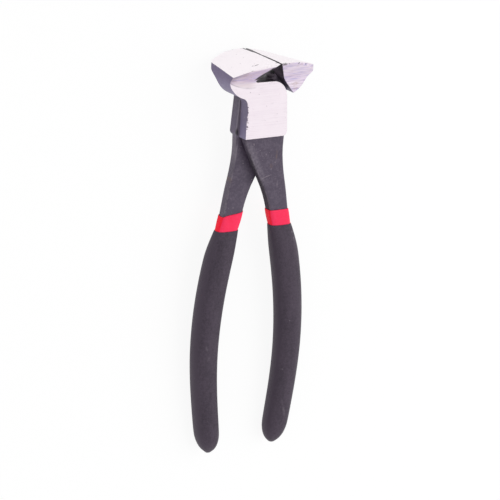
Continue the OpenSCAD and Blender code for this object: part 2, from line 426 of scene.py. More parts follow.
@dataclass(frozen=True)
class SteelPlan:
    """Where the steel's finish changes, in millimetres of the tool frame.

    A span runs from where its mask is 0 to where it is 1. Sides are measured across a cheek, and are
    negative towards the cheek's own jaw. Feet, heads, rises and falls are measured along the tool,
    towards the jaws, and heights from the plane between the laps.
    """

    # crown, jaw ends, throat and outer walls
    reach: float = 26.5
    crown_r: float = 50.0
    crown_skew: float = 16.0
    flare_y: float = 15.4
    flare_slope: float = 0.966
    relief_slope: float = 0.795
    lap_t: float = 6.0
    leaf: Span = (-0.8, -0.2)
    lap_split: Span = (-0.4, 0.4)
    flare: Span = (0.05, 0.9)
    crown_edge: Span = (0.1, 0.4)
    crown_rise: Span = (17.0, 20.0)
    throat_side: Span = (9.5, 7.6)
    throat_rise: Span = (10.0, 14.0)
    wall_side: Span = (11.6, 14.5)
    wall_rise: Span = (1.0, 8.0)
    # ragged bites in a cheek's neck edge
    neck_w: float = 11.0
    neck_head: Span = (4.2, 3.2)
    bite_level: float = 0.42
    bite_depth: float = 5.5
    bite_rise: Span = (-12.5, -5.0)
    bite_edge: Span = (-0.1, 0.1)
    # oxide with painted shade round the throat's corner
    corner_x: float = -6.93
    corner_y: float = 17.1
    corner_slope: float = 0.517
    corner_depth: float = 1.9
    corner_fall: Span = (23.8, 18.6)
    corner_edge: Span = (-0.2, 0.2)
    corner_foot: Span = (16.4, 17.4)
    corner_head: Span = (24.8, 23.6)
    corner_outer: Span = (-10.5, -9.5)
    corner_inner: Span = (-0.4, -1.0)
    # line between the cutting edges, and nicks along the rims
    cut_width: float = 0.55
    cut_level: float = 0.44
    cut_rag: float = 1.2
    cut_far_width: float = 0.9
    cut_far: Span = (-3.0, -14.0)
    cut_edge: Span = (-0.12, 0.12)
    cut_rise: Span = (23.5, 25.0)
    nick_level: float = 0.60
    nick_depth: float = 7.0
    nick_other: float = 1.2
    nick_edge: Span = (-0.25, 0.25)
    nick_rise: Span = (17.0, 19.0)
    # tints, painted shade and a painted highlight strip of the jaw ends, by the distance from the rim
    deep_start: Span = (1.0, 2.2)
    deep_end: Span = (6.8, 4.2)
    deep_side: Span = (-18.5, -14.0)
    strip_width: float = 1.7
    strip_start: float = -0.3
    strip_side: Span = (-18.0, -8.0)
    strip_edge: Span = (-0.3, 0.3)
    lip: Span = (5.0, 0.0)
    lip_side: Span = (-13.5, -17.5)
    other_rim_shade: Span = (1.2, 0.4)
    # cove under a jaw end, with its grime and the painted shade of its crease
    cove_x: float = -9.0
    cove_y: float = 12.65
    cove_bow: float = 0.0215
    cove_side: Span = (-6.0, -8.5)
    crease: Span = (0.5, 0.12)
    crease_side: Span = (-14.0, -18.0)
    grime_foot: Span = (0.0, 0.5)
    grime_head: Span = (17.5, 15.2)
    grime_side: Span = (-5.0, -11.5)
    # necks, painted light along the seam between the laps, walls, and painted light and shade in the
    # throat
    neck_side: Span = (-10.3, -10.9)
    free_side: Span = (10.3, 10.9)
    neck_foot: Span = (-14.0, -13.0)
    neck_fall: Span = (-2.0, -11.0)
    free_fall: Span = (4.0, -6.0)
    seam_height: Span = (0.9, 0.3)
    seam_side: Span = (9.8, 10.6)
    seam_foot: Span = (-13.5, -12.0)
    wall_fall: Span = (19.5, 12.5)
    throat_height: Span = (11.0, -2.0)
    floor_side: Span = (-1.0, 11.0)
    floor_fall: Span = (17.5, 16.0)
    # shanks: painted shade on their inner sides and painted light on their outer sides
    inner_fall: Span = (-16.0, -27.0)
    outer_rise: Span = (-32.0, -20.0)
    shank_x: float = -15.7
    shank_slope: float = 0.479
    rubbed_side: Span = (3.4, 0.2)
    rubbed_height: Span = (3.4, 4.2)
    rubbed_fall: Span = (-13.5, -16.0)
    rubbed_rise: Span = (-40.0, -30.0)
    worn_fall: Span = (-13.0, -15.5)


@dataclass(frozen=True)
class Zones:
    """Where a point of the steel lies, as the masks and distances that the finish uses.

    Across and along are measured as in the plan, and the rim is the distance from a jaw end's rim. The
    masks are 1 over the other half's lap, on the jaw ends, in the throat, on the jaws' outer walls, and on
    the inner and outer sides of the shanks.
    """

    place: Value
    x: Value
    z: Value
    across: Value
    along: Value
    other_lap: Value
    flare: Value
    rim: Value
    throat: Value
    wall: Value
    inner: Value
    outer: Value


@dataclass(frozen=True)
class ForgedSteel(Finish):
    """Black-oxide forging with bright ground cheeks, crown and jaw ends, with light and shade painted in
    places.

    Lengths are fields of the plan. The numbers in the methods are shares of a colour, and levels and
    contrasts of a pattern.
    """

    name: str = "forged_steel"
    hues: SteelHues = SteelHues()
    grains: SteelGrains = SteelGrains()
    plan: SteelPlan = SteelPlan()
    metallic: float = 0.92
    ground_rough: float = 0.36
    ground_swing: float = 0.25
    oxide_rough: float = 0.46
    oxide_swing: float = 0.3
    inner_rough: float = 0.4
    line_height: float = 0.25
    bump_depth: float = 0.05
    bump_strength: float = 0.5
    scuffs: tuple[Spot, ...] = (
        Spot((2.8, -32.6, 0.0), (4.2, 0.35, 60.0), 14.0, 0.7),
        Spot((0.6, -33.6, 0.0), (1.6, 0.3, 60.0), 22.0, 0.5),
        Spot((-5.5, -15.7, 0.0), (0.35, 0.9, 60.0), 10.0, 1.0),
        Spot((-6.1, -16.6, 0.0), (0.3, 0.3, 60.0), 0.0, 0.8),
        Spot((9.2, -37.0, 0.0), (0.4, 2.0, 60.0), 4.0, 0.5),
    )
    chips: tuple[Spot, ...] = (
        Spot((-9.3, 25.0, 9.9), (2.6, 4.0, 0.55), 0.0, 0.9),
        Spot((-11.6, 24.6, 9.3), (0.8, 4.0, 0.4), 0.0, 0.7),
        Spot((-1.2, 26.0, 13.9), (0.8, 4.0, 0.7), 0.0, 0.8),
    )
    # painted shadows in the gaps at the lower ends of the laps
    gap_shadows: tuple[Spot, ...] = (
        Spot((-12.2, -10.6, -0.3), (1.1, 3.2, 1.0), 0.0, 0.9),
        Spot((12.2, -10.6, 0.3), (1.1, 3.2, 1.0), 0.0, 0.9),
    )
    rusts: tuple[Spot, ...] = (
        Spot((-14.1, -34.2, 0.0), (1.3, 2.2, 60.0), 12.0, 0.7),
        Spot((7.9, -22.0, 0.0), (0.8, 3.2, 60.0), 0.0, 0.5),
        Spot((5.2, -27.5, 0.0), (1.2, 1.8, 60.0), 30.0, 0.35),
    )

    def zones(self, tree: Tree) -> Zones:
        """Works out where a point lies on the tool.

        Args:
            tree: The material's tree.

        Returns:
            The place, its masks and its distances.
        """
        plan = self.plan
        place = tree.tool_place()
        x, y, z = tree.split(place)
        across = x * z.sign()
        skew = math.radians(plan.crown_skew)
        off = x * math.cos(skew) - z * math.sin(skew)
        below_crown = plan.reach - plan.crown_r + (plan.crown_r**2 - off * off).root() - y
        inside_end = (y - plan.flare_y) * plan.flare_slope + plan.lap_t - abs(z)
        leaf = (across + (y - plan.reach) * plan.relief_slope).step(*plan.leaf)
        flare = (abs(z) - plan.lap_t).step(*plan.flare).most(leaf)
        side = tree.attribute(Mark.SIDE)
        return Zones(
            place=place,
            x=x,
            z=z,
            across=across,
            along=y,
            other_lap=across.step(*plan.lap_split),
            flare=flare * below_crown.step(*plan.crown_edge),
            rim=below_crown.most(0.0) + inside_end.most(0.0),
            throat=abs(x).step(*plan.throat_side) * y.step(*plan.throat_rise),
            wall=abs(x).step(*plan.wall_side) * y.step(*plan.wall_rise),
            inner=side.most(0.0),
            outer=(0.0 - side).most(0.0),
        )

    def bites(self, tree: Tree, zones: Zones) -> Value:
        """Gives the ragged bites that the oxide takes out of a cheek's neck edge.

        Args:
            tree: The material's tree.
            zones: Where the point lies.

        Returns:
            A mask that is 1 in a bite.
        """
        plan = self.plan
        ragged = tree.noise(zones.place, self.grains.bites)
        depth = (ragged - plan.bite_level) * plan.bite_depth * zones.along.step(*plan.bite_rise)
        from_neck = zones.across + plan.neck_w
        return (depth - from_neck).step(*plan.bite_edge) * zones.along.step(*plan.neck_head)

    def corner(self, zones: Zones) -> Value:
        """Gives a patch on the jaw's end at the throat's corner, where the ground finish stops and shade
        is painted near black so that the throat's dark runs on.

        Args:
            zones: Where the point lies.

        Returns:
            A mask that is 1 on that patch.
        """
        plan = self.plan
        gap = (zones.along - plan.corner_y) * plan.corner_slope + plan.corner_x - zones.across
        depth = zones.along.step(*plan.corner_fall) * plan.corner_depth
        found = (depth - gap).step(*plan.corner_edge)
        found = found * zones.along.step(*plan.corner_foot) * zones.along.step(*plan.corner_head)
        return found * zones.across.step(*plan.corner_outer) * zones.across.step(*plan.corner_inner)

    def nicks(self, tree: Tree, zones: Zones) -> Value:
        """Gives the dark line between the cutting edges and the nicks along the jaws' rims.

        Args:
            tree: The material's tree.
            zones: Where the point lies.

        Returns:
            A mask that is 1 on the line and in a nick.
        """
        plan = self.plan
        ragged = tree.noise(zones.place, self.grains.nicks)
        far = zones.z.step(*plan.cut_far) * plan.cut_far_width
        width = (ragged - plan.cut_level) * plan.cut_rag + far + plan.cut_width
        line = (width - abs(zones.x)).step(*plan.cut_edge) * zones.along.step(*plan.cut_rise)
        depth = (ragged - plan.nick_level) * plan.nick_depth + zones.other_lap * plan.nick_other
        rim = (depth - zones.rim).step(*plan.nick_edge) * zones.along.step(*plan.nick_rise)
        found = line.most(rim * 0.7)
        torn = ragged.step(0.38, 0.56)
        for chip in self.chips:
            found = found.most(tree.spot(zones.place, chip) * torn)
        return found

    def jaw_ends(self, tree: Tree, zones: Zones, lines: Value, bands: Value) -> Value:
        """Gives the jaw ends' lavender, partly heat tint and partly painted shade, their stains, a painted
        shade a little below the rim and a painted highlight strip along it.

        Args:
            tree: The material's tree.
            zones: Where the point lies.
            lines: The pattern of the grinding lines.
            bands: The pattern of the tints.

        Returns:
            The colour.
        """
        hues, plan = self.hues, self.plan
        own_end = 1.0 - zones.other_lap
        # the ends are darker than the cheeks: partly heat tint, partly painted shade of faces that turn
        # from the light
        colour = tree.mix(hues.bright_shade, hues.flare, bands.step(0.30, 0.62) * 0.8 + 0.2)
        colour = tree.mix(colour, hues.streak, bands.step(0.51, 0.65) * 0.85)
        # painted shade, darkest a little below the rim
        deep_shade = zones.rim.step(*plan.deep_start) * zones.rim.step(*plan.deep_end) * own_end
        colour = tree.mix(colour, hues.flare_shade, deep_shade * zones.across.step(*plan.deep_side) * 0.6)
        colour = tree.tint(colour, (lines - 0.5) * 1.1 + 1.0)
        stains = tree.noise(zones.place, self.grains.stains).step(0.55, 0.70)
        colour = tree.mix(colour, hues.stain, stains * 0.6)
        # painted highlight: a strip of the crown's white along the rim
        width = zones.across.step(*plan.strip_side) * plan.strip_width + plan.strip_start
        strip = (width - zones.rim).step(*plan.strip_edge) * own_end
        return tree.mix(colour, hues.crown_highlight, strip * 0.95)

    def cove(self, tree: Tree, zones: Zones, lines: Value, blotch: Value, colour: Value) -> Value:
        """Soils the cove under a jaw end and paints shade along its crease.

        Args:
            tree: The material's tree.
            zones: Where the point lies.
            lines: The pattern of the grinding lines.
            blotch: The pattern of the blotches.
            colour: The colour so far.

        Returns:
            The colour with the cove in it.
        """
        plan = self.plan
        own_end = 1.0 - zones.other_lap
        bow = zones.across - plan.cove_x
        above = zones.along - bow * bow * plan.cove_bow - plan.cove_y
        grime = above.step(*plan.grime_foot) * zones.along.step(*plan.grime_head)
        grime = grime * own_end * zones.across.step(*plan.grime_side)
        colour = tree.mix(colour, self.hues.stain, grime * (lines.step(0.34, 0.62) * 0.25 + 0.17))
        # painted shade along the crease where the cove meets the cheek
        crease = abs(above).step(*plan.crease) * own_end * zones.across.step(*plan.cove_side)
        share = zones.across.step(*plan.crease_side) * 0.3 + blotch.step(0.35, 0.60) * 0.2 + 0.15
        return tree.mix(colour, self.hues.scratch_and_shade, crease * share)

    def ground_colour(self, tree: Tree, zones: Zones, lines: Value) -> Value:
        """Gives the colour of the bright surfaces.

        Args:
            tree: The material's tree.
            zones: Where the point lies.
            lines: The pattern of the grinding lines.

        Returns:
            The colour.
        """
        hues, grains, plan, place = self.hues, self.grains, self.plan, zones.place
        blotch = tree.noise(place, grains.blotch)
        bands = tree.noise(place, grains.bands)
        shade = (blotch - 0.5) * 1.1 + (lines - 0.5) * 2.4 + 0.10
        colour = tree.mix(hues.bright, hues.bright_shade, shade)
        # painted highlight: the crown is mixed towards an almost pure white
        colour = tree.mix(colour, hues.crown_highlight, zones.along.step(*plan.crown_rise) * 0.73)
        colour = tree.mix(colour, self.jaw_ends(tree, zones, lines, bands), zones.flare * 0.95)
        # painted shade just below the jaw ends' rims, and a painted shadow line along the rim of the other
        # half's jaw end
        own_rim_shade = zones.rim.step(*plan.lip) * (1.0 - zones.other_lap)
        own_rim_shade = own_rim_shade * zones.across.step(*plan.lip_side) * 0.6
        other_rim_shade = zones.rim.step(*plan.other_rim_shade) * zones.other_lap * bands.step(0.38, 0.56) * 0.5
        colour = tree.mix(colour, hues.scratch_and_shade, own_rim_shade.most(other_rim_shade) * zones.flare)
        colour = self.cove(tree, zones, lines, blotch, colour)
        hair = abs(tree.noise(place, grains.hairs) - 0.5)
        sparse = tree.noise(place, grains.hair_fields).step(0.56, 0.66)
        colour = tree.mix(colour, hues.scratch_and_shade, hair.step(0.006, 0.0) * sparse * 0.5)
        colour = tree.mix(colour, hues.scratch_and_shade, tree.specks(place, grains.pits) * 0.5)
        return tree.mix(colour, hues.nick, self.nicks(tree, zones))

    def jaw_sides(self, tree: Tree, zones: Zones, cloud: Value, coarse: Value, colour: Value) -> Value:
        """Tints the necks and the jaws' outer walls, paints light along the seam between the laps, and
        paints light and shade in the throat.

        Args:
            tree: The material's tree.
            zones: Where the point lies.
            cloud: The pattern of the clouding.
            coarse: The pattern of the coarse grain.
            colour: The colour so far.

        Returns:
            The colour with those surfaces in it.
        """
        hues, plan = self.hues, self.plan
        off_wall = 1.0 - zones.wall
        foot = zones.along.step(*plan.neck_foot) * off_wall
        neck = zones.across.step(*plan.neck_side) * (zones.along.step(*plan.neck_fall) * 0.3 + 0.48)
        colour = tree.mix(colour, hues.wall_pale, neck * foot)
        free = zones.across.step(*plan.free_side) * (zones.along.step(*plan.free_fall) * 0.12 + 0.04)
        colour = tree.mix(colour, hues.wall_pale, free * foot)
        # painted light along the seam between the laps, where the laps' contact shadow falls
        seam_light = abs(zones.z).step(*plan.seam_height) * abs(zones.across).step(*plan.seam_side)
        seam_light = seam_light * zones.along.step(*plan.seam_foot) * off_wall
        colour = tree.mix(colour, hues.wear_and_light, seam_light * 0.55)
        pale = zones.along.step(*plan.wall_fall) * 0.9 + (cloud + coarse - 1.0) * 0.8
        colour = tree.mix(colour, tree.mix(hues.wall, hues.wall_pale, pale), zones.wall * 0.95)
        # painted light and shade that even out the throat: lifted near the plane between the laps, darker
        # away from it, and darker in the middle of its floor
        depth = abs(zones.z).step(*plan.throat_height) * 1.2 + 0.25
        lift = abs(zones.across).step(*plan.floor_side) * 0.9 - 0.55
        floor = zones.along.step(*plan.floor_fall) * lift + 1.0
        return tree.mix(colour, tree.tint(hues.throat, depth * floor), zones.throat)

    def shank_sides(self, tree: Tree, zones: Zones, coarse: Value, colour: Value) -> Value:
        """Paints shade on the shanks' inner sides, paints light on their outer sides, and rubs the front
        of their inner edges.

        Args:
            tree: The material's tree.
            zones: Where the point lies.
            coarse: The pattern of the coarse grain.
            colour: The colour so far.

        Returns:
            The colour with the shanks' sides in it.
        """
        hues, plan = self.hues, self.plan
        # painted shade on the inner sides, which the other handle keeps from the light
        shaded = zones.along.step(*plan.inner_fall) * 0.5 + 0.3
        colour = tree.mix(colour, hues.inner, zones.inner * shaded)
        # painted light on the outer sides, in the colour of wear
        outer_light = zones.along.step(*plan.outer_rise) * 0.22 + 0.06
        colour = tree.mix(colour, hues.wear_and_light, zones.outer * outer_light)
        from_edge = zones.across + zones.along * plan.shank_slope - plan.shank_x
        rubbed = from_edge.step(*plan.rubbed_side) * abs(zones.z).step(*plan.rubbed_height)
        rubbed = rubbed * zones.along.step(*plan.rubbed_fall) * zones.along.step(*plan.rubbed_rise)
        return tree.mix(colour, hues.wear_and_light, rubbed * (coarse.step(0.35, 0.65) * 0.25 + 0.15))

    def oxide_colour(self, tree: Tree, zones: Zones, grain: Value, corner: Value) -> Value:
        """Gives the colour of the black-oxide surfaces.

        Args:
            tree: The material's tree.
            zones: Where the point lies.
            grain: The pattern of the forged grain.
            corner: The oxide round the throat's corner.

        Returns:
            The colour.
        """
        hues, grains, place = self.hues, self.grains, zones.place
        cloud = tree.noise(place, grains.cloud)
        coarse = tree.noise(place, grains.coarse)
        mottle = cloud.step(0.35, 0.70) * 0.7 + (grain - 0.5) * 1.9 + (coarse - 0.5) * 2.4
        colour = tree.mix(hues.oxide, hues.oxide_pale, mottle)
        colour = self.jaw_sides(tree, zones, cloud, coarse, colour)
        colour = self.shank_sides(tree, zones, coarse, colour)
        dots = tree.specks(place, grains.flecks).most(tree.specks(place, grains.dots))
        rubbed_off = grain.step(0.35, 0.6) * 0.6 + 0.4
        for scuff in self.scuffs:
            dots = dots.most(tree.spot(place, scuff) * rubbed_off)
        colour = tree.mix(colour, hues.speck, dots * 0.6 * (1.0 - zones.wall.most(zones.throat)))
        patchy = cloud.step(0.3, 0.6)
        for rust in self.rusts:
            colour = tree.mix(colour, hues.rust, tree.spot(place, rust) * patchy)
        rub = tree.noise(place, grains.rubs).step(0.66, 0.78)
        colour = tree.mix(colour, hues.wear_and_light, rub * 0.3 * (1.0 - zones.throat))
        # painted shade, near black: at the throat's corner and in the gaps at the laps' lower ends
        painted_shade = corner
        for gap_shadow in self.gap_shadows:
            painted_shade = painted_shade.most(tree.spot(place, gap_shadow))
        return tree.mix(colour, hues.deep_shade, painted_shade)

    def polish(self, lines: Value) -> Value:
        """Gives the roughness of the bright surfaces from the grinding lines."""
        return self.ground_rough + (lines - 0.5) * self.ground_swing

    def surface(
        self, tree: Tree, colour: Value, rough: Value, metallic: Value | float, height: Value
    ) -> Value:
        """Puts the steel's shader together.

        Args:
            tree: The material's tree.
            colour: Its colour.
            rough: Its roughness.
            metallic: How far it is bare metal.
            height: The pattern that bumps it.

        Returns:
            The shader.
        """
        normal = tree.bump(height, self.bump_depth, self.bump_strength)
        inputs = {"Base Color": colour, "Roughness": rough, "Metallic": metallic, "Normal": normal}
        return tree.node("BsdfPrincipled", {}, inputs)

    def shader(self, tree: Tree) -> Value:
        """Mixes the ground and the oxide surfaces by the marks on the mesh.

        Args:
            tree: The material's tree.

        Returns:
            The shader.
        """
        zones = self.zones(tree)
        place = zones.place
        corner = self.corner(zones)
        ragged = tree.noise(place, self.grains.border)
        ground = (tree.attribute(Mark.GROUND) + (ragged - 0.5) * 0.9).step(0.42, 0.56)
        # the ground finish stops in the bites and where shade is painted at the throat's corner
        ground = ground * (1.0 - self.bites(tree, zones).most(corner))
        lines = tree.noise(place, self.grains.lines)
        grain = tree.noise(place, self.grains.forged)
        wear = tree.noise(place, self.grains.edge_wear).step(0.36, 0.64)
        wear = wear * zones.along.step(*self.plan.worn_fall)
        edge = tree.attribute(Mark.EDGE) * (wear * 0.55 + 0.16) * (1.0 - zones.throat)
        oxide = tree.mix(self.oxide_colour(tree, zones, grain, corner), self.hues.wear_and_light, edge)
        colour = tree.mix(oxide, self.ground_colour(tree, zones, lines), ground)
        dull = zones.inner * self.inner_rough + (grain - 0.5) * self.oxide_swing + self.oxide_rough
        rough = ground * self.polish(lines) + (1.0 - ground) * dull
        height = ground * lines * self.line_height + (1.0 - ground) * grain
        return self.surface(tree, colour, rough, ground * self.metallic, height)


@dataclass(frozen=True)
class GroundRivet(ForgedSteel):
    """Rivet steel, ground flush in one pass with the cheeks round it."""

    name: str = "ground_rivet"

    def shader(self, tree: Tree) -> Value:
        """Grinds the rivet all over, with the lines of the cheeks.

        Args:
            tree: The material's tree.

        Returns:
            The shader.
        """
        zones = self.zones(tree)
        lines = tree.noise(zones.place, self.grains.lines)
        colour = self.ground_colour(tree, zones, lines)
        return self.surface(tree, colour, self.polish(lines), self.metallic, lines * self.line_height)


@dataclass(frozen=True)
class DippedVinyl(Finish):
    """Vinyl that a handle was dipped in, with a fine grain and small scuffs."""

    name: str
    colour: Colour
    shade: Colour
    # painted shade: a darker, more saturated copy of the colour for the upright sides
    side: Colour
    scuff: Colour
    rough: float
    gloss: float
    grain_depth: float
    rubs: tuple[Spot, ...] = ()
    grain_strength: float = 0.6
    side_lean: Span = (0.85, 0.35)
    cloud: Pattern = Pattern(0.16, 3.0, 0.55, (1.0, 0.35, 1.0))
    grain: Pattern = Pattern(1.9, 3.0, 0.65)
    fine: Pattern = Pattern(5.0, 2.0, 0.6)
    coarse: Pattern = Pattern(0.9, 2.0, 0.6)
    wear: Pattern = Pattern(0.30, 4.0, 0.65, (1.0, 0.3, 1.0))
    flecks: Specks = Specks(0.13, 0.06, 0.35)
    dots: Specks = Specks(0.9, 0.2, 0.06)

    def shader(self, tree: Tree) -> Value:
        """Builds the grain, the clouding and the scuffs.

        Args:
            tree: The material's tree.

        Returns:
            The shader.
        """
        place = tree.tool_place()
        cloud = tree.noise(place, self.cloud)
        grain = tree.noise(place, self.grain)
        fine = tree.noise(place, self.fine)
        coarse = tree.noise(place, self.coarse)
        mottle = cloud.step(0.32, 0.70) * 0.5 + (grain - 0.5) * 1.6 + (fine - 0.5) * 1.2 + 0.15
        mottle = mottle + (coarse - 0.5) * 1.5
        colour = tree.mix(self.colour, self.shade, mottle)
        # painted shade on the upright sides
        colour = tree.mix(colour, self.side, tree.flatness().step(*self.side_lean))
        dots = tree.specks(place, self.flecks).most(tree.specks(place, self.dots) * 0.4)
        rubbed_off = grain.step(0.34, 0.62)
        for rub in self.rubs:
            dots = dots.most(tree.spot(place, rub) * rubbed_off)
        wear = tree.noise(place, self.wear).step(0.66, 0.80)
        colour = tree.mix(colour, self.scuff, dots * 0.5 + wear * (grain.step(0.4, 0.6) * 0.3))
        rough = (grain - 0.5) * 0.25 + wear * 0.1 + (cloud - 0.5) * 0.15 + self.rough
        return tree.node(
            "BsdfPrincipled",
            {},
            {
                "Base Color": colour,
                "Roughness": rough,
                "Specular IOR Level": self.gloss,
                "Normal": tree.bump(grain * 0.6 + fine * 0.4, self.grain_depth, self.grain_strength),
            },
        )


STEEL = ForgedSteel()
RIVET = GroundRivet()
RED_VINYL = DippedVinyl(
    name="red_dipped_vinyl",
    colour=(0.96, 0.034, 0.115),
    shade=(0.93, 0.022, 0.085),
    side=(0.97, 0.003, 0.03),
    scuff=(0.95, 0.20, 0.26),
    rough=0.46,
    gloss=0.2,
    grain_depth=0.03,
)
BLACK_VINYL = DippedVinyl(
    name="black_dipped_vinyl",
    colour=(0.063, 0.046, 0.068),
    shade=(0.033, 0.024, 0.037),
    side=(0.051, 0.036, 0.056),
    scuff=(0.20, 0.17, 0.20),
    rough=0.52,
    gloss=0.30,
    grain_depth=0.06,
    rubs=(
        Spot((21.2, -156.0, 6.0), (1.0, 3.8, 9.0), 15.0, 0.75),
        Spot((19.9, -151.0, 6.0), (0.8, 2.6, 9.0), 10.0, 0.4),
        Spot((-26.1, -116.8, 6.0), (0.8, 2.0, 9.0), 20.0, 0.6),
        Spot((-24.6, -122.0, 6.0), (0.9, 1.6, 9.0), 0.0, 0.5),
        Spot((20.7, -63.0, 4.0), (0.6, 0.8, 4.0), 0.0, 1.6),
        Spot((21.7, -66.4, 4.4), (0.6, 1.5, 4.0), 10.0, 1.4),
        Spot((19.4, -133.9, 5.1), (0.6, 0.6, 6.0), 0.0, 1.2),
    ),
)


class Bench:
    """Edit-mode work on one piece at a time. Its gap is in millimetres."""

    loose_gap: float = 0.002

    @staticmethod
    def copy(node: str, name: str) -> bpy.types.Object:
        """Copies a CAD node into a new piece and merges its loose triangles.

        Args:
            node: The CAD node.
            name: The new piece's name.

        Returns:
            The piece, selected and active.
        """
        mesh = frame["nodes"][node].data.copy()
        mesh.name = name
        mesh.materials.clear()
        piece = bpy.data.objects.new(name, mesh)
        bpy.context.scene.collection.objects.link(piece)
        Bench.open(piece)
        bpy.ops.mesh.customdata_custom_splitnormals_clear()
        bpy.ops.mesh.remove_doubles(threshold=Bench.loose_gap * MM)
        bpy.ops.object.mode_set(mode="OBJECT")
        return piece

    @staticmethod
    def take(piece: bpy.types.Object) -> None:
        """Selects one object and makes it active.

        Args:
            piece: The object.
        """
        bpy.ops.object.select_all(action="DESELECT")
        piece.select_set(True)
        bpy.context.view_layer.objects.active = piece

    @staticmethod
    def open(piece: bpy.types.Object) -> None:
        """Opens a piece in edit mode with all of it selected.

        Args:
            piece: The piece.
        """
        Bench.take(piece)
        bpy.ops.object.mode_set(mode="EDIT")
        bpy.ops.mesh.select_all(action="SELECT")

    @staticmethod
    def apply(piece: bpy.types.Object, kind: str, settings: dict) -> None:
        """Adds a modifier and applies it.

        Args:
            piece: The piece.
            kind: The modifier's type.
            settings: Its properties.
        """
        Bench.take(piece)
        modifier = piece.modifiers.new(kind.lower(), kind)
        for key, setting in settings.items():
            setattr(modifier, key, setting)
        bpy.ops.object.modifier_apply(modifier=modifier.name)

    @staticmethod
    def pick_edges(piece: bpy.types.Object, wanted: list[bool]) -> None:
        """Selects edges in object mode, for edit mode to work on.

        Args:
            piece: The piece.
            wanted: True for each edge to select, in the order of the mesh's edges.
        """
        bpy.context.tool_settings.mesh_select_mode = (False, True, False)
        mesh = piece.data
        mesh.vertices.foreach_set("select", [False] * len(mesh.vertices))
        mesh.polygons.foreach_set("select", [False] * len(mesh.polygons))
        mesh.edges.foreach_set("select", wanted)
        for edge, chosen in zip(mesh.edges, wanted):
            if chosen:
                mesh.vertices[edge.vertices[0]].select = True
                mesh.vertices[edge.vertices[1]].select = True

    @staticmethod
    def mark(piece: bpy.types.Object, mark: Mark, values: list[float]) -> None:
        """Writes an attribute of the face corners."""
        layer = piece.data.attributes.new(mark.value, "FLOAT", "CORNER")
        layer.data.foreach_set("value", values)

    @staticmethod
    def place(piece: bpy.types.Object, body: str, node: str, slot: str, finish: Finish) -> None:
        """Dresses a finished piece and lets it ride in place of its CAD node.

        Args:
            piece: The piece.
            body: The CAD body that it moves with.
            node: The CAD node that it stands for.
            slot: Not used.
            finish: The finish that it gets.
        """
        piece.data.materials.clear()
        piece.data.materials.append(finish.material())
        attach(piece, body)
        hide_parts(node)


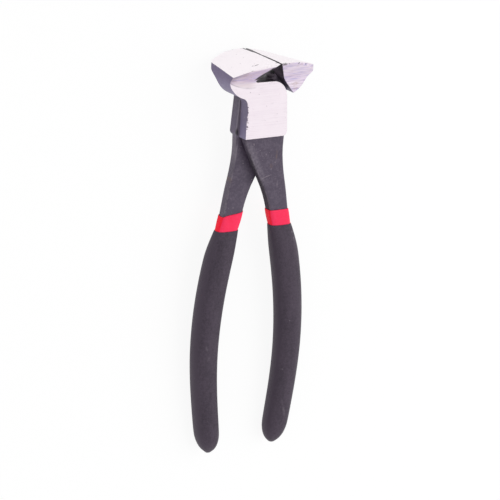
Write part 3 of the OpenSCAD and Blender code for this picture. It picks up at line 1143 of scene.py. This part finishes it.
@dataclass
class ForgedHalf:
    """One forging: a jaw, a lap and a shank, with its edges broken.

    Lengths are in millimetres of the half's own frame, and angles in degrees.
    """

    node: str
    side: Side
    edge_break: float = 0.24
    edge_segments: int = 3
    strip_slot: int = 1
    least_edge: float = 0.1
    merge_gap: float = 0.004
    flat_angle: float = 0.6
    sharp_angle: float = 24.0
    smooth_angle: float = 40.0
    normal_weight: int = 80
    rivet_zone: float = 6.2
    cut_zone: float = 0.9
    cut_rise: float = 24.5
    crowded: tuple[tuple[Triple, float], ...] = (
        ((11.9, -12.1, 0.3), 1.5),
        ((-7.5, 14.4, 6.2), 1.9),
        ((-7.5, 16.6, 6.6), 0.8),
        ((-0.3, 26.4, 16.6), 0.7),
        ((-0.3, 26.4, -16.6), 0.7),
    )
    cheek_bottom: float = 12.9
    cheek_height: float = 3.0
    ground_lean: float = 0.6
    side_lean: float = 0.55
    crown_rise: float = 18.0
    spread_rounds: int = 8

    def build(self) -> bpy.types.Object:
        """Models and dresses the half.

        Returns:
            The finished piece.
        """
        piece = Bench.copy(self.node, self.node + "_forging")
        self.simplify(piece)
        self.break_edges(piece)
        self.mark_surfaces(piece)
        Bench.take(piece)
        bpy.ops.object.shade_smooth_by_angle(angle=math.radians(self.smooth_angle))
        Bench.apply(piece, "WEIGHTED_NORMAL", {"weight": self.normal_weight, "keep_sharp": True})
        Bench.place(piece, self.node, self.node, "steel", STEEL)
        return piece

    def simplify(self, piece: bpy.types.Object) -> None:
        """Joins the triangles of each flat face and takes out edges too short to break.

        Args:
            piece: The piece.
        """
        Bench.open(piece)
        bpy.ops.mesh.dissolve_limited(angle_limit=math.radians(self.flat_angle))
        bpy.ops.mesh.dissolve_degenerate(threshold=self.least_edge * MM)
        bpy.ops.mesh.dissolve_limited(angle_limit=math.radians(self.flat_angle))
        bpy.ops.object.mode_set(mode="OBJECT")

    def own_point(self, place: Vector) -> Vector:
        """Gives a point in the half's own frame, in which both halves are the same forging."""
        point = TOOL.point(place)
        return Vector((point.x * self.side.value, point.y, point.z * self.side.value))

    def is_kept(self, ends: list[Vector]) -> bool:
        """Tells whether an edge stays sharp: at the rivet, at the cut, or where edges crowd.

        Args:
            ends: The edge's ends in the half's own frame.

        Returns:
            True where it isn't broken.
        """
        at_rivet = all(math.hypot(end.x, end.y) < self.rivet_zone for end in ends)
        at_cut = all(abs(end.x) < self.cut_zone and end.y > self.cut_rise for end in ends)
        crowded = any(
            (end - Vector(corner)).length < zone for corner, zone in self.crowded for end in ends
        )
        return at_rivet or at_cut or crowded

    def sharp_edges(self, piece: bpy.types.Object) -> list[bool]:
        """Finds the edges that are broken on the real forging.

        Args:
            piece: The piece.

        Returns:
            True for each edge to break, in the order of the mesh's edges.
        """
        mesh = piece.data
        faces: dict[tuple[int, int], list[Vector]] = {}
        for face in mesh.polygons:
            for key in face.edge_keys:
                faces.setdefault(key, []).append(face.normal.copy())
        least = math.radians(self.sharp_angle)
        wanted = []
        for edge in mesh.edges:
            normals = faces.get(edge.key, [])
            ends = [self.own_point(mesh.vertices[i].co) for i in edge.vertices]
            sharp = len(normals) == 2 and normals[0].angle(normals[1], 0.0) > least
            wanted.append(sharp and not self.is_kept(ends))
        return wanted

    def break_edges(self, piece: bpy.types.Object) -> None:
        """Rounds the sharp edges and leaves the strips in the second material slot.

        Args:
            piece: The piece.
        """
        wanted = self.sharp_edges(piece)
        piece.data.materials.append(None)
        piece.data.materials.append(None)
        Bench.pick_edges(piece, wanted)
        bpy.ops.object.mode_set(mode="EDIT")
        bpy.ops.mesh.select_mode(type="EDGE")
        bpy.ops.mesh.bevel(
            offset=self.edge_break * MM,
            offset_type="OFFSET",
            segments=self.edge_segments,
            profile=0.5,
            affect="EDGES",
            clamp_overlap=False,
            loop_slide=True,
            material=self.strip_slot,
            miter_outer="SHARP",
        )
        bpy.ops.mesh.select_all(action="SELECT")
        bpy.ops.mesh.remove_doubles(threshold=self.merge_gap * MM)
        bpy.ops.object.mode_set(mode="OBJECT")
        log.info("%s: %d edges broken", piece.name, sum(wanted))

    def is_ground(self, face: bpy.types.MeshPolygon) -> bool:
        """Tells whether a face is one of the bright ground surfaces.

        Args:
            face: The face.

        Returns:
            True on a cheek, a jaw end or the crown.
        """
        normal = TOOL.direction(face.normal)
        middle = TOOL.point(face.center)
        if middle.y < -self.cheek_bottom:
            return False
        on_cheek = normal.z * middle.z > self.cheek_height and abs(normal.z) > self.ground_lean
        on_crown = normal.y > self.ground_lean and middle.y > self.crown_rise
        return on_cheek or on_crown

    def shank_side(self, face: bpy.types.MeshPolygon) -> float:
        """Tells which side of the shank a face is on.

        Args:
            face: The face.

        Returns:
            1 on the side that faces the other handle, -1 on the outer side, or else 0.
        """
        across = TOOL.direction(face.normal).x * self.side.value
        if TOOL.point(face.center).y > -self.cheek_bottom or abs(across) < self.side_lean:
            return 0.0
        return -math.copysign(1.0, across)

    def mark_surfaces(self, piece: bpy.types.Object) -> None:
        """Writes the marks that the finish reads: even on a face, and blended across a broken edge.

        Args:
            piece: The piece.
        """
        mesh = piece.data
        ground = [0.0] * len(mesh.vertices)
        within = [1.0] * len(mesh.vertices)
        bright = [self.is_ground(face) for face in mesh.polygons]
        for face, lit in zip(mesh.polygons, bright):
            if face.material_index == self.strip_slot:
                continue
            for i in face.vertices:
                within[i] = 0.0
                ground[i] = max(ground[i], float(lit))
        self.spread(mesh, within, ground)
        at_ground = [0.0] * len(mesh.loops)
        at_edge = [0.0] * len(mesh.loops)
        at_side = [0.0] * len(mesh.loops)
        for face, lit in zip(mesh.polygons, bright):
            strip = face.material_index == self.strip_slot
            shank_side = self.shank_side(face)
            for corner in face.loop_indices:
                i = mesh.loops[corner].vertex_index
                at_ground[corner] = ground[i] if strip else float(lit)
                at_edge[corner] = within[i] if strip else 0.0
                at_side[corner] = shank_side
        Bench.mark(piece, Mark.GROUND, at_ground)
        Bench.mark(piece, Mark.EDGE, at_edge)
        Bench.mark(piece, Mark.SIDE, at_side)

    def spread(self, mesh: bpy.types.Mesh, within: list[float], values: list[float]) -> None:
        """Carries a mark across the broken edges.

        Args:
            mesh: The piece's mesh.
            within: 1 for the points inside a broken edge.
            values: The mark, which is changed at those points.
        """
        for _ in range(self.spread_rounds):
            total = [0.0] * len(values)
            count = [0] * len(values)
            for edge in mesh.edges:
                for here, there in (edge.vertices, reversed(edge.vertices)):
                    total[here] += values[there]
                    count[here] += 1
            for i, inside in enumerate(within):
                if inside and count[i]:
                    values[i] = total[i] / count[i]


@dataclass
class DippedHandle:
    """The red first dip and the black second dip over one handle. Angles are in degrees."""

    hand: str
    body: str
    levels: int = 2
    quad_angle: float = 60.0

    def build(self) -> list[bpy.types.Object]:
        """Models and dresses both dips.

        Returns:
            The red and the black piece.
        """
        red = self.dip(self.hand + "_band", self.hand + "_red_dip", "red_vinyl", RED_VINYL)
        black = self.dip(self.hand + "_grip", self.hand + "_black_dip", "black_vinyl", BLACK_VINYL)
        return [red, black]

    def dip(self, node: str, name: str, slot: str, finish: Finish) -> bpy.types.Object:
        """Smooths one coat.

        Args:
            node: The coat's CAD node.
            name: The new piece's name.
            slot: The record's material slot.
            finish: The finish that the coat gets.

        Returns:
            The finished piece.
        """
        piece = Bench.copy(node, name)
        Bench.open(piece)
        bend = math.radians(self.quad_angle)
        bpy.ops.mesh.tris_convert_to_quads(face_threshold=bend, shape_threshold=bend)
        bpy.ops.object.mode_set(mode="OBJECT")
        Bench.apply(piece, "SUBSURF", {"levels": self.levels, "render_levels": self.levels})
        Bench.take(piece)
        bpy.ops.object.shade_smooth()
        Bench.place(piece, self.body, node, slot, finish)
        return piece


@dataclass(frozen=True)
class Lamp:
    """A square soft lamp: its place in the row frame and its width, in metres, and its power in watts."""

    name: str
    place: Triple
    width: float
    power: float


@dataclass
class Studio:
    """A white table, soft light and the camera of the photograph."""

    # table and world, in metres
    floor_size: float = 6.0
    floor_drop: float = 0.00005
    floor_grain: Pattern = Pattern(9.0, 3.0)
    floor_mottle: float = 0.02
    floor_rough: float = 0.9
    white_share: float = 0.9
    sky_level: float = 0.68
    sky_dim: float = 0.66
    dim_across: Span = (0.25, -0.75)
    dim_height: Span = (0.12, 0.55)
    lamps: tuple[Lamp, ...] = (
        Lamp("key", (0.75, 0.10, 0.85), 1.4, 7.6),
        Lamp("fill", (-0.9, -0.5, 0.7), 0.9, 1.5),
    )
    # camera, in millimetres and degrees of the tool frame
    middle: Triple = (0.0, -73.5, 0.0)
    azimuth: float = -33.299
    elevation: float = 17.296
    roll: float = 3.439
    pixels_per_mm: float = 2.050
    shift_mm: Span = (-0.4707, 2.3600)
    distance: float = 1500.0
    image: float = 500.0
    sensor: float = 36.0
    clip_end_m: float = 20.0

    def build(self) -> None:
        """Makes the floor, the world, the lamps and the camera."""
        self.floor()
        self.world()
        for lamp in self.lamps:
            self.light(lamp)
        self.camera()

    @staticmethod
    def seen(tree: Tree) -> Value:
        """Tells the rays that see the surroundings from those that light the object.

        Args:
            tree: The tree of the floor or the world.

        Returns:
            1 for rays from the camera, off metal and through glass, and 0 for light.
        """
        camera = tree.node("LightPath", {}, {}, "Is Camera Ray")
        glossy = tree.node("LightPath", {}, {}, "Is Glossy Ray")
        through = tree.node("LightPath", {}, {}, "Is Transmission Ray")
        return camera.most(glossy).most(through)

    def floor(self) -> None:
        """Adds the white table, which keeps a soft shadow."""
        bpy.ops.object.select_all(action="DESELECT")
        bpy.ops.mesh.primitive_plane_add(size=self.floor_size, location=(0.0, 0.0, -self.floor_drop))
        floor = bpy.context.object
        floor.name = "floor"
        material = bpy.data.materials.new("white_table")
        material.use_nodes = True
        tree = Tree(material.node_tree)
        grain = tree.noise(tree.node("TexCoord", {}, {}, "Object"), self.floor_grain)
        colour = tree.tint(WHITE, grain * self.floor_mottle + (1.0 - self.floor_mottle))
        table = tree.node("BsdfPrincipled", {}, {"Base Color": colour, "Roughness": self.floor_rough})
        white = tree.node("Emission", {}, {"Color": WHITE, "Strength": 1.0})
        share = self.seen(tree) * self.white_share
        mixed = tree.node("MixShader", {}, {0: share, 1: table, 2: white})
        tree.node("OutputMaterial", {}, {"Surface": mixed})
        floor.data.materials.append(material)

    def world(self) -> None:
        """Sets a white surrounding that lights the object at a plain level."""
        world = bpy.data.worlds.new("studio")
        bpy.context.scene.world = world
        world.use_nodes = True
        tree = Tree(world.node_tree)
        across, _, height = tree.split(tree.node("TexCoord", {}, {}, "Generated"))
        dim = across.step(*self.dim_across) * height.step(*self.dim_height)
        shade = tree.mix(WHITE, (self.sky_dim, self.sky_dim, self.sky_dim), dim)
        white = tree.node("Background", {}, {"Color": shade, "Strength": 1.0})
        light = tree.node("Background", {}, {"Color": WHITE, "Strength": self.sky_level})
        mixed = tree.node("MixShader", {}, {0: self.seen(tree), 1: light, 2: white})
        tree.node("OutputWorld", {}, {"Surface": mixed})

    @staticmethod
    def light(lamp: Lamp) -> None:
        """Adds a lamp that faces the tool.

        Args:
            lamp: The lamp.
        """
        bpy.ops.object.light_add(type="AREA", location=lamp.place)
        light = bpy.context.object
        light.name = lamp.name
        light.data.size = lamp.width
        light.data.energy = lamp.power
        light.visible_glossy = False
        light.rotation_euler = Vector(lamp.place).to_track_quat("Z", "Y").to_euler()

    def camera(self) -> None:
        """Sets the camera where the photograph was taken from."""
        turn, lift, roll = (math.radians(angle) for angle in (self.azimuth, self.elevation, self.roll))
        level = Vector((math.cos(turn), 0.0, -math.sin(turn)))
        back = Vector((math.sin(turn) * math.cos(lift), math.sin(lift), math.cos(turn) * math.cos(lift)))
        upright = back.cross(level)
        right = math.cos(roll) * level + math.sin(roll) * upright
        up = math.cos(roll) * upright - math.sin(roll) * level
        target = Vector(self.middle) + right * self.shift_mm[0] + up * self.shift_mm[1]
        data = bpy.data.cameras.new("photo_camera")
        data.sensor_width = self.sensor
        data.lens = self.pixels_per_mm * self.distance / self.image * self.sensor
        data.clip_end = self.clip_end_m
        camera = bpy.data.objects.new("photo_camera", data)
        bpy.context.scene.collection.objects.link(camera)
        camera.matrix_world = TOOL.matrix(right, up, back, target + back * self.distance)
        bpy.context.scene.camera = camera


def dress_rivet() -> bpy.types.Object:
    """Gives the rivet, whose CAD shape is right, its ground finish.

    Returns:
        The rivet's CAD node.
    """
    rivet = frame["nodes"]["rivet"]
    rivet.data.materials.clear()
    rivet.data.materials.append(RIVET.material())
    return rivet


def main() -> None:
    """Builds the studio and the tool, and reports each piece."""
    logging.basicConfig(level=logging.INFO, format="%(name)s %(message)s")
    bpy.context.scene.view_settings.view_transform = "Standard"
    Studio().build()
    pieces = [
        ForgedHalf("front_half", Side.FRONT).build(),
        ForgedHalf("rear_half", Side.REAR).build(),
        dress_rivet(),
        *DippedHandle("right", "front_half").build(),
        *DippedHandle("left", "rear_half").build(),
    ]
    for piece in pieces:
        finish = piece.data.materials[0].name
        log.info("%s: %d faces, finished in %s", piece.name, len(piece.data.polygons), finish)


if __name__ == "__main__":
    main()
